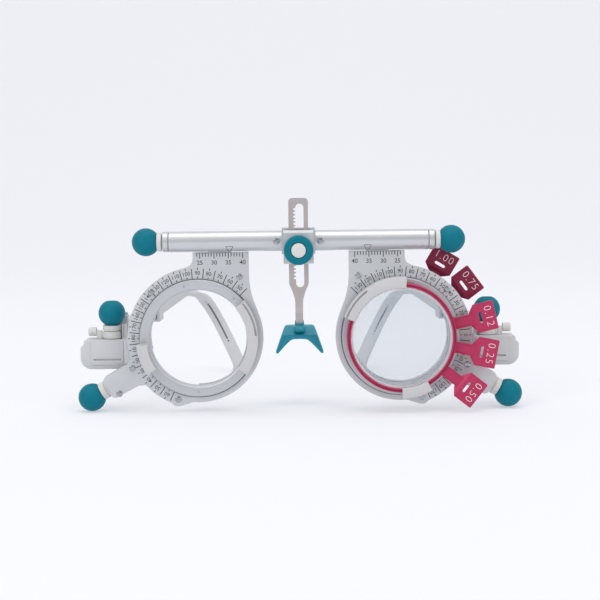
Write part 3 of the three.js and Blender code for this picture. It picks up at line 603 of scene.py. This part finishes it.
def dial_plate(side, label):
    """The protractor plate with its hanger, tongue, bottom boss and the knob's arm, and its screws."""
    top = -RIM_Z - TUBE_R - 0.2
    outline = ([(-18, top), (-18, 24), (-18, 21.5), (-18.2, 18.5), (-18.7, 15.6), (-19.6, 12.6),
                (-20.7, 9.8)]
               + arc(0, 0, NASAL_R, 163, 275, 56) + arc(7.46, -21.65, 2.6, 248, 322, 12)
               + arc(0, 0, SCALE_R, -66.5, 78, 72) + [(3.6, 25.0), (2.6, 25.5), (1.9, 26.5), (1.6, 28),
                                                      (1.6, top)])
    face = plate("face", on_rim(outline, side), -PLATE_HALF, PLATE_HALF,
                 [on_rim(arc(0, 0, RIM_HOLE_R, 0, 357, 119), side)], rounding=0.15)
    half = ARM_HALF_WIDTH
    edge = [(23, -6.6), (24.6, -5.3), (26.8, -half - 0.1), (35.9, -half + 0.1), (ARM_END, -half + 0.9)]
    arm = plate("arm", on_rim(swung(edge + [(u, -v) for u, v in reversed(edge)], ARM_ANGLE), side),
                -PLATE_HALF, ARM_BACK, rounding=0.3)
    tongue = block("tongue", (side * (RIM_X - 12), side * (RIM_X - 4)), (-0.8, 0.8), (-TUBE_R - 1, 0.6))
    combine(face, "UNION", arm, tongue)
    shaft_hole = rod("cut", SPINDLE_R + 0.15, 21, ARM_END + 1, rim_place(side, AXIS_Y), arm_way(side), 32)
    screw_way = rod("cut", SPINDLE_R + 0.2, -40, 40, CENTRE, ALONG_X, 32)
    combine(face, "DIFFERENCE", shaft_hole, screw_way)
    fit(face, f"rim_{label}", DIAL_ALUMINIUM, "dial_plate", f"rim_dial_plate_{label}")
    places = [(45, 23.1), (124.6, 26), (-24, 25.7), (-71, 22.9), (-34.7, 34.2)]
    heads = []
    for number, (angle, r) in enumerate(places):
        x, z = on_rim(arc(0, 0, r, angle, angle, 1)[:1], side)[0]
        heads.append(screw_head("head", x, z, -PLATE_HALF, 1.15, 30 + 47 * number))
    fit(merged(f"plate_screws_{label}", *heads), f"rim_{label}", BRIGHT_STEEL, "bright_steel")


def graduations(side, label):
    """The angle scale, the distance scale and their figures, filled in black, a hair above the plate."""
    bm = bmesh.new()
    y = -PLATE_HALF - 0.012
    for degrees in range(-65, 136, 5):
        angle = degrees if side > 0 else 180 - degrees
        reading = 180 if angle == 180 else angle % 180
        direction = math.radians(degrees)
        spans = [(20.95, 21.6), (24.0, 24.75)] if degrees % 10 == 0 else [(20.95, 24.4)]
        for inner, outer in spans:
            r = (inner + outer) / 2
            x, z = on_rim([(r * math.cos(direction), r * math.sin(direction))], side)[0]
            stroke(bm, x, z, y, outer - inner, 0.27, angle)
        if degrees % 10 == 0:
            x, z = on_rim([(22.8 * math.cos(direction), 22.8 * math.sin(direction))], side)[0]
            write(bm, str(reading), 1.95, x, z, y, angle)
    circle = arc(0, 0, 20.92, 135, 295, 80)
    for (x0, z0), (x1, z1) in zip(circle, circle[1:]):
        (xa, za), (xb, zb) = on_rim([(x0, z0), (x1, z1)], side)
        stroke(bm, (xa + xb) / 2, (za + zb) / 2, y, math.hypot(xb - xa, zb - za), 0.09,
               math.degrees(math.atan2(zb - za, xb - xa)))
    # The marker stands at 35.5 mm, so a tick reading d lies d - 35.5 mm nearer the middle.
    for reading in range(24, 41):
        x = side * (24.1 + (35.5 - reading))
        length = 1.9 if reading % 5 == 0 else 1.25
        stroke(bm, x, -4.0 - length / 2, y, length, 0.27, 90)
        if reading % 5 == 0:
            write(bm, str(reading), 2.15, x, -7.4, y, 90)
    stroke(bm, side * 29.6, -3.95, y, 11.8, 0.14, 0)
    fit(from_bmesh(f"graduations_{label}", bm), f"rim_{label}", DIAL_INK, "dial_plate")


def exit_path(angle, r=RING_R + 0.15):
    """The outline that a lens ring sweeps as it is drawn out."""
    a = math.radians(angle)
    shift = (45 * math.cos(a), 45 * math.sin(a))
    far = [(x + shift[0], z + shift[1]) for x, z in arc(0, 0, r, angle - 90, angle + 90, 1)]
    return arc(0, 0, r, angle + 90, angle + 270, 60) + far


def clip(name, side, sector, y0, y1, grooves, exit_angle, turn=0.0):
    """One springy clip: a ring sector with a groove for each lens."""
    start, end = sector[0] - turn, sector[1] - turn
    outline = arc(0, 0, 21.1, start, end, 30) + arc(0, 0, 17.4, end, start, 30)
    body = plate(name, on_rim(outline, side), y0, y1, rounding=0.25)
    for low, high in grooves:
        path = plate("cut", on_rim(exit_path(exit_angle - turn), side), low, high, rounding=0.01)
        combine(body, "DIFFERENCE", path)
    if name.startswith("front_long"):
        begin, finish = (138, 176) if side < 0 else (126, 162)
        band = arc(0, 0, 20.8, begin, finish, 24) + arc(0, 0, 20.1, finish, begin, 24)
        combine(body, "DIFFERENCE", plate("cut", on_rim(band, side), y0 - 1, y0 + 0.9, rounding=0.01))
    return body


def groove(y):
    return y - 0.75, y + 0.75


def back_plate(side, label):
    """The rear cover over the crown wheel, with its wall and the three rear clips."""
    rounded = 0.15
    outline = arc(0, 0, 22.4, 130, 295, 60) + arc(0, 0, 24.6, -65, 130, 72)
    disc = plate("disc", on_rim(outline, side), BACK_FROM, BACK_TO,
                 [on_rim(arc(0, 0, APERTURE_R + 0.3, 0, 357, 119), side)], rounding=rounded)
    combine(disc, "DIFFERENCE", plate("cut", on_rim(swung(rectangle(19.6, 26, 4.6), ARM_ANGLE), side), 2, 5))
    walls = []
    for start, end in ((8, 128), (-63, -49)):
        ring = arc(0, 0, 24.5, start, end, 40) + arc(0, 0, 22.4, end, start, 40)
        walls.append(plate("wall", on_rim(ring, side), 0.95, BACK_FROM + 0.1, rounding=0.1))
    clips = [clip("rear", side, sector, BACK_TO - 0.1, CLIP_BACK, [(BACK_TO, 6.4), groove(7.55)], REAR_EXIT)
             for sector in ((150, 185), (-15, 8), (238, 272))]
    fit(merged(f"rear_cover_{label}", disc, *walls, *clips), f"rim_{label}", PALE_ABS, "pale_plastic",
        f"rim_back_plate_{label}")


def lens_cell(side, label):
    """The turning cell: stepped bore, chamfered face, and crown teeth at its back."""
    turn = 0 if side > 0 else LEFT_CELL_TURN
    place = rim_place(side)
    body = turned(f"turning_cell_{label}", [
        (16.9, -1.2), (17.0, CELL_FRONT + 0.5), (17.4, CELL_FRONT + 0.12), (18.1, CELL_FRONT),
        (20.3, CELL_FRONT),
        (20.6, CELL_FRONT + 0.3), (20.6, 0.9), (21.9, 0.9), (21.9, CROWN_ROOT), (16.9, CROWN_ROOT),
        (16.9, -1.2),
    ], place, ALONG_Y, 144)
    dimples = []
    for angle in (139, 77, 20, 215):
        x, z = on_rim(arc(0, 0, 18.9, angle - turn, angle - turn, 1)[:1], side)[0]
        dimples.append(rod("cut", 0.38, CELL_FRONT - 0.3, CELL_FRONT + 0.35, Vector((x, 0, z)), ALONG_Y, 20))
    combine(body, "DIFFERENCE", *dimples)
    teeth = []
    for i in range(60):
        middle = ARM_ANGLE + 3 + i * 6
        tooth = arc(0, 0, 21.8, middle - 1.2, middle + 1.2, 2) + arc(0, 0, 20.35, middle + 1.25,
                                                                     middle - 1.25, 2)
        teeth.append(plate("tooth", on_rim(tooth, side), CROWN_ROOT - 0.1, 2.4, rounding=0.05))
    fit(merged(f"turning_cell_{label}", body, *teeth), f"cell_{label}", CELL_ALUMINIUM, "cell_metal",
        f"lens_cell_{label}")
    grooves = [groove(y) for _, _, y, _ in LENSES if y < 0]
    for kind, sector in (("long", (85, 160)), ("short", (270, 300))):
        piece = clip(f"front_{kind}_clip_{label}", side, sector, CLIP_FRONT, CELL_FRONT - 0.1, grooves,
                     FRONT_EXIT,
                     turn)
        fit(piece, f"cell_{label}", CLIP_ACETAL, "white_plastic", f"front_clip_{kind}_{label}")


def axis_knob(side, label):
    """Shaft with its collars and six-leaf pinion, and the ball that turns it."""
    place, way = rim_place(side, AXIS_Y), arm_way(side)
    collar_end = 43.9 - 3.9 - 0.05
    shaft = turned("shaft", [
        (0, 20.3), (SPINDLE_R, 20.3), (SPINDLE_R, ARM_END + 0.2), (3.15, ARM_END + 0.2),
        (3.3, ARM_END + 0.35),
        (3.3, 37.55), (2.7, 37.65), (2.7, 37.95), (3.1, 38.05), (3.15, 38.2), (3.1, collar_end),
        (SPINDLE_R, collar_end), (SPINDLE_R, 42.6), (0, 42.6),
    ], place, way, 64)
    leaves = []
    for i in range(6):
        leaf = block("leaf", (-0.42, 0.42), (-2.35, -1.0), (0, 1.5))
        frame_way = Matrix((ALONG_Y.cross(way), ALONG_Y, way)).transposed().to_4x4()
        turn = Matrix.Rotation(math.radians(60 * i), 4, way)
        leaf.data.transform(Matrix.Translation(place + way * 20.4) @ turn @ frame_way)
        leaves.append(leaf)
    fit(merged(f"axis_spindle_{label}", shaft, *leaves), f"axis_knob_{label}", WHITE_ACETAL, "white_plastic",
        f"axis_pinion_shaft_{label}")
    knob = ball(f"axis_knob_ball_{label}", 4.92, 3.8, 43.9, place, way, 42.8)
    fit(knob, f"axis_knob_{label}", TEAL_RUBBER, "teal_knob", f"axis_ball_{label}")


for side, label in SIDES:
    dial_plate(side, label)
    graduations(side, label)
    back_plate(side, label)
    lens_cell(side, label)
    axis_knob(side, label)
    repaint(f"carriage_nut_{label}", BRIGHT_STEEL, 0)
    repaint(f"temple_lug_{label}", PALE_ABS, 0.15)


# ---- Trial lenses ------------------------------------------------------------------------------

def trial_lens(name, power, y, angle):
    """A grooved ring with neck and five-sided handle, its power in white, and its glass."""
    place = Vector((RIM_X, y, RIM_Z))
    front = y < 0
    # Rear rings take the darker copy of the magenta, which is painted shade.
    metal = RING_MAGENTA if front else RING_MAGENTA_PAINTED_SHADE
    hoop = turned("hoop", [
        (RING_BORE, -0.45), (RING_BORE + 0.12, -RING_HALF), (18.15, -RING_HALF), (18.2, 0.0), (18.6, 0.0),
        (18.65, -RING_HALF), (RING_R - 0.15, -RING_HALF), (RING_R, -0.5), (RING_R, 0.5),
        (RING_R - 0.15, RING_HALF),
        (RING_BORE + 0.2, RING_HALF), (RING_BORE, 0.45), (RING_BORE, -0.45),
    ], place, ALONG_Y, 120)
    half = [(24.4, 2.0), (26.7, 5.05), (33.5, 5.05), (33.8, 4.75)]
    handle = [(u, -v) for u, v in half] + half[::-1]
    slot = arc(1.55, 0, 0.5, -90, 90, 8) + arc(-1.55, 0, 0.5, 90, 270, 8)
    slot = [(28.4 - v, u) for u, v in slot]
    tab = plate("tab", on_rim(swung(handle, angle), 1), y - 0.5, y + 0.5, [on_rim(swung(slot, angle), 1)],
                0.16)
    turn = Matrix.Translation(place) @ Matrix.Rotation(-math.radians(angle), 4, "Y")
    wedge = block("wedge", (-6, 0), (-2, 0), (-7, 7))
    lean = Matrix.Rotation(math.atan2(-0.65, 1.2), 4, "Z")
    wedge.data.transform(turn @ Matrix.Translation((26.6, -0.5, 0)) @ lean)
    combine(tab, "DIFFERENCE", wedge)
    neck = block("neck", (18.7, 26.0), (0.0, 0.45), (-2, 2))
    rails = [block("rail", (18.9, 25.2), (-0.42, 0.1), (v - 0.16, v + 0.16)) for v in (-1.82, 1.82)]
    for piece in (neck, *rails):
        piece.data.transform(turn)
    fit(merged(f"ring_and_handle_{name}", hoop, tab, neck, *rails), f"lens_{name}", metal, "lens_ring_metal",
        f"lens_ring_{name}")
    bm = bmesh.new()
    x, z = on_rim(swung([(31.3, 0)], angle), 1)[0]
    write(bm, power, 3.8, x, z, y - 0.512, angle)
    fit(from_bmesh(f"power_figures_{name}", bm), f"lens_{name}", WHITE_FILL, "lens_ring_metal")
    bevel = turned(f"ground_edge_{name}", [(16.9, -0.5), (RING_BORE - 0.04, -0.3), (RING_BORE - 0.04, 0.3),
                                           (16.9, 0.5), (16.9, -0.5)], place, ALONG_Y, 96)
    fit(bevel, f"lens_{name}", GROUND_EDGE, "lens_glass")
    edge = 16.88
    dome = [(edge * i / 12, 0.7 - 0.26 * (i / 12) ** 2) for i in range(13)]
    glass = turned(f"blank_{name}", [(r, -h) for r, h in dome] + [(r, h) for r, h in reversed(dome)], place,
                   ALONG_Y, 96)
    fit(glass, f"lens_{name}", CROWN_GLASS, "lens_glass", f"lens_glass_{name}")


for lens in LENSES:
    trial_lens(*lens)


# ---- Temples -----------------------------------------------------------------------------------

def temple_block(side, label):
    """The moulded block on the tilt pin, with a raised front panel, an index line and two hinge ears."""
    inner, outer, bottom, top, front, back = 62.2, 78.3, -45.6, -35.2, 7.6, 18.4
    corner = arc(outer - 4, bottom + 4, 4, 0, -90, 12)
    outline = [(inner, top), (outer - 1.9, top), (outer - 1.3, top - 0.3), (outer - 1.1, top - 1.7),
               (outer - 0.5, top - 2.0), (outer, top - 2.8)] + corner + [(inner, bottom)]
    body = plate("body", [(side * x, z) for x, z in outline], front, back, rounding=0.45)
    panel = [(inner + 0.6, top - 0.6), (outer - 4.3, top - 0.6), (outer - 3.8, top - 1.1),
             (outer - 3.8, bottom + 2.0), (outer - 4.3, bottom + 1.5), (inner + 0.6, bottom + 1.5)]
    raised = plate("panel", [(side * x, z) for x, z in panel], front - 0.4, front + 1, rounding=0.2)
    combine(body, "UNION", raised)
    cuts = [
        plate("cut", [(side * x, z) for x, z in (arc(64.1, -42.1, 0.3, 90, 270, 8)
                                                 + arc(73.3, -42.1, 0.3, -90, 90, 8))],
              front - 1, front + 0.25, rounding=0.02),
        rod("cut", 1.62, 50, 71, Vector((0, 10.5, -40.5)), Vector((side, 0, 0)), 32),
        rod("cut", 1.35, -37.6, -30, Vector((side * TILT_SCREW_X, TILT_SCREW_Y, 0)), ALONG_Z, 32),
    ]
    combine(body, "DIFFERENCE", *cuts)
    wide = (side * (HINGE.x - 2.2), side * (HINGE.x + 2.6))
    riser = block("riser", wide, (back - 0.4, back + 1.4), (bottom + 2, HINGE.z + 5))
    guide = block("guide", (side * 62.3, side * 63.6), (11.5, 15), (top - 0.4, -30))
    slit = block("slit", (side * 62.6, side * 63.3), (11, 11.9), (top + 0.8, -30.5))
    combine(body, "UNION", riser, guide)
    combine(body, "DIFFERENCE", slit)
    for low in (-5, 2.8):
        ear = block("ear", wide, (back + 0.9, HINGE.y), (HINGE.z + low, HINGE.z + low + 2.2))
        nose = rod("nose", 2.4, HINGE.z + low, HINGE.z + low + 2.2,
                   Vector((side * (HINGE.x + 0.2), HINGE.y, 0)),
                   ALONG_Z, 40)
        hole = rod("hole", 1.3, HINGE.z - 9, HINGE.z + 9, Vector((side * HINGE.x, HINGE.y, 0)), ALONG_Z, 32)
        combine(ear, "UNION", nose)
        combine(ear, "DIFFERENCE", hole)
        combine(body, "UNION", ear)
    fit(body, f"temple_block_{label}", PALE_ABS, "pale_plastic", f"temple_housing_{label}", bevel=0.15)
    lock = turned("lock", [
        (0, 72.95), (1.35, 72.95), (1.6, 73.15), (1.6, 74.3), (1.45, 74.4), (1.45, 74.5), (1.6, 74.6),
        (1.6, 75.65),
        (1.35, 75.9), (0, 75.9),
    ], Vector((0, 13.2, -32.6)), Vector((side, 0, 0)), 48)
    post = block("post", (side * 71.1, side * 72.9), (12, 14.4), (top + 0.1, -32.2))
    fit(merged(f"lock_roller_{label}", lock, post), f"temple_block_{label}", WHITE_ACETAL, "white_plastic",
        f"temple_lock_knob_{label}")
    pin = turned(f"fold_pin_{label}", [
        (0, -5.8), (1.6, -5.8), (1.9, -5.5), (1.9, -5.1), (SPINDLE_R, -5.1), (SPINDLE_R, 5.1), (1.9, 5.1),
        (1.9, 5.5), (1.6, 5.8), (0, 5.8),
    ], Vector((side * HINGE.x, HINGE.y, HINGE.z)), ALONG_Z, 40)
    fit(pin, f"temple_block_{label}", BRIGHT_STEEL, "bright_steel", f"hinge_pin_{label}")


def tilt_knob(side, label):
    place = Vector((side * TILT_SCREW_X, TILT_SCREW_Y, 0))
    screw = turned(f"tilt_spindle_{label}", [
        (0, -37.3), (SPINDLE_R, -37.3), (SPINDLE_R, -35.05), (3.2, -35.05), (3.4, -34.85), (3.4, -32.6),
        (3.3, -32.5), (2.7, -32.4), (2.7, -32.2), (3.3, -32.1), (3.4, -31.95), (3.4, -30.4), (3.3, -30.3),
        (SPINDLE_R, -30.3), (SPINDLE_R, -27.6), (0, -27.6),
    ], place, ALONG_Z, 64)
    fit(screw, f"tilt_knob_{label}", WHITE_ACETAL, "white_plastic", f"tilt_screw_{label}")
    knob = ball(f"tilt_knob_ball_{label}", 4.8, 4.25, TILT_BALL_Z, place, ALONG_Z, -27.4, 0.45)
    fit(knob, f"tilt_knob_{label}", TEAL_RUBBER, "teal_knob", f"tilt_ball_{label}")


def arm_frame(side):
    """Along, inward and upward directions of a temple arm."""
    along = Vector((-side * math.sin(ARM_TOE_IN) * math.cos(ARM_RISE),
                    math.cos(ARM_TOE_IN) * math.cos(ARM_RISE),
                    math.sin(ARM_RISE)))
    inward = Vector((-side * along.y, side * along.x, 0)).normalized()
    up = along.cross(inward)
    return along, inward, up if up.z > 0 else -up


def catmull(points, steps):
    """A smooth curve through the points."""
    padded = [points[0] * 2 - points[1]] + points + [points[-1] * 2 - points[-2]]
    path = []
    for a, b, c, d in zip(padded, padded[1:], padded[2:], padded[3:]):
        for i in range(steps):
            t = i / steps
            path.append(0.5 * (2 * b + (c - a) * t + (2 * a - 5 * b + 4 * c - d) * t * t
                               + (3 * b - a - 3 * c + d) * t ** 3))
    return path + [points[-1]]


def temple_arm(side, label):
    """The sliding arm and its ear hook, one bent strip that twists to lie flat behind the ear."""
    along, inward, up = arm_frame(side)
    hinge = Vector((side * HINGE.x, HINGE.y, HINGE.z))
    start = hinge + along * 9 + inward * 2.95
    knee = hinge + along * 75.5 + inward * 2.95
    hook = [(-1.2, 4, 0.4), (-4.6, 9.3, -1.2), (-9, 12.8, -5.5), (-13.4, 14.1, -13), (-17.6, 13.6, -21.5),
            (-21.4, 12.1, -29.5), (-22.4, 11.4, -32.6)]
    straight = [start.lerp(knee, i / 8) for i in range(8)]
    bend = catmull([knee] + [knee + Vector((side * x, y, z)) for x, y, z in hook], 6)
    path = straight + bend
    flat = Vector((side * 0.9, -0.1, 0.44)).normalized()
    across = [up] * len(straight)
    for i in range(len(bend)):
        share = min(i / 16, 1.0)
        across.append(up.slerp(flat, share * share * (3 - 2 * share)) if i else up)
    strip = sweep("strip", path, across, 2.3, 5.0, 0.55)
    tip = path[-1]
    foot = plate("foot", [(tip.x + x, z) for x, z in
                          [(-2.8, -60.2), (2.8, -60.2), (2.8, -58.9), (2.1, -57.5), (-2.1, -57.5),
                           (-2.8, -58.9)]],
                 tip.y - 2.1, tip.y + 2.1, rounding=0.4)
    fit(merged(f"ear_arm_{label}", strip, foot), f"temple_arm_{label}", PALE_ABS, "pale_plastic",
        f"temple_arm_{label}")
    # No groove is cut into the arm: a thin dark strip laid along the hook's face is painted shade for the
    # groove.
    first = len(straight) + 10
    line = [point - ALONG_Y * 1.12 for point in path[first:-2]]
    painted_groove_shade = sweep(f"arm_groove_painted_shade_{label}", line, [flat] * len(line), 0.16, 0.8, 0.07)
    fit(painted_groove_shade, f"temple_arm_{label}", GROOVE_PAINTED_SHADE, "pale_plastic")


for side, label in SIDES:
    temple_block(side, label)
    tilt_knob(side, label)
    repaint(f"temple_carrier_{label}", PALE_ABS, 0.25)
    temple_arm(side, label)


# ---- Floor and light ---------------------------------------------------------------------------

def stage_floor():
    """A seamless pale sweep: flat under the frame, rising behind it."""
    bm = bmesh.new()
    bend = [(-8.0, 0), (0.6, 0)] + [(0.6 + 0.5 * math.sin(a), 0.5 - 0.5 * math.cos(a))
                                    for a in [math.radians(d) for d in range(10, 91, 10)]] + [(1.1, 2.0)]
    rows = [(bm.verts.new((-8.0, y, z)), bm.verts.new((8.0, y, z))) for y, z in bend]
    for (a, b), (c, d) in zip(rows, rows[1:]):
        bm.faces.new((a, b, d, c))
    floor = from_bmesh("pale_floor", bm)
    floor.data.shade_smooth()
    paper = finish_of("matt_white_paper", "#b6b7bb", "#b5b6ba", 0.9, 0.0, 0.6, 0.01)
    glow = paper.node_tree.nodes["Principled BSDF"]
    glow.inputs["Emission Color"].default_value = linear("#f3f4f9")
    glow.inputs["Emission Strength"].default_value = 0.46
    floor.data.materials.append(paper)


def soft_light(name, spot, size, power, aim=(0, 0, 0.035)):
    data = bpy.data.lights.new(name, "AREA")
    data.shape = "RECTANGLE"
    data.size, data.size_y = size
    data.energy = power
    lamp = bpy.data.objects.new(name, data)
    bpy.context.collection.objects.link(lamp)
    lamp.location = spot
    lamp.rotation_euler = (Vector(aim) - Vector(spot)).to_track_quat("-Z", "Y").to_euler()


def studio():
    """An even pale room, a little darker just above the horizon, so that metal shows soft bands."""
    world = bpy.data.worlds.new("studio_air")
    bpy.context.scene.world = world
    world.use_nodes = True
    tree = world.node_tree
    place = add(tree, "ShaderNodeTexCoord")
    split = add(tree, "ShaderNodeSeparateXYZ", {"Vector": (place, "Generated")})
    ramp = add(tree, "ShaderNodeValToRGB", {"Fac": (split, "Z")})
    stops = ((0.0, "#ececef"), (0.08, "#c0c2c6"), (0.42, "#c6c8cc"), (0.62, "#fbfbfc"), (1.0, "#ffffff"))
    for index, (place_at, colour) in enumerate(stops):
        stop = ramp.color_ramp.elements[index] if index < 2 else ramp.color_ramp.elements.new(place_at)
        stop.position = place_at
        stop.color = linear(colour)
    sky = tree.nodes["Background"]
    tree.links.new(ramp.outputs["Color"], sky.inputs["Color"])
    sky.inputs["Strength"].default_value = 0.7
    soft_light("top_softbox", (0.0, -0.2, 1.3), (1.4, 1.0), 7.0)
    soft_light("front_left_softbox", (-0.9, -1.2, 0.8), (0.8, 0.8), 5.0)
    soft_light("front_right_softbox", (1.0, -1.1, 0.6), (0.8, 0.8), 3.0)
    bpy.context.scene.view_settings.view_transform = "Standard"
    bpy.context.scene.cycles.transparent_max_bounces = 40


stage_floor()
studio()
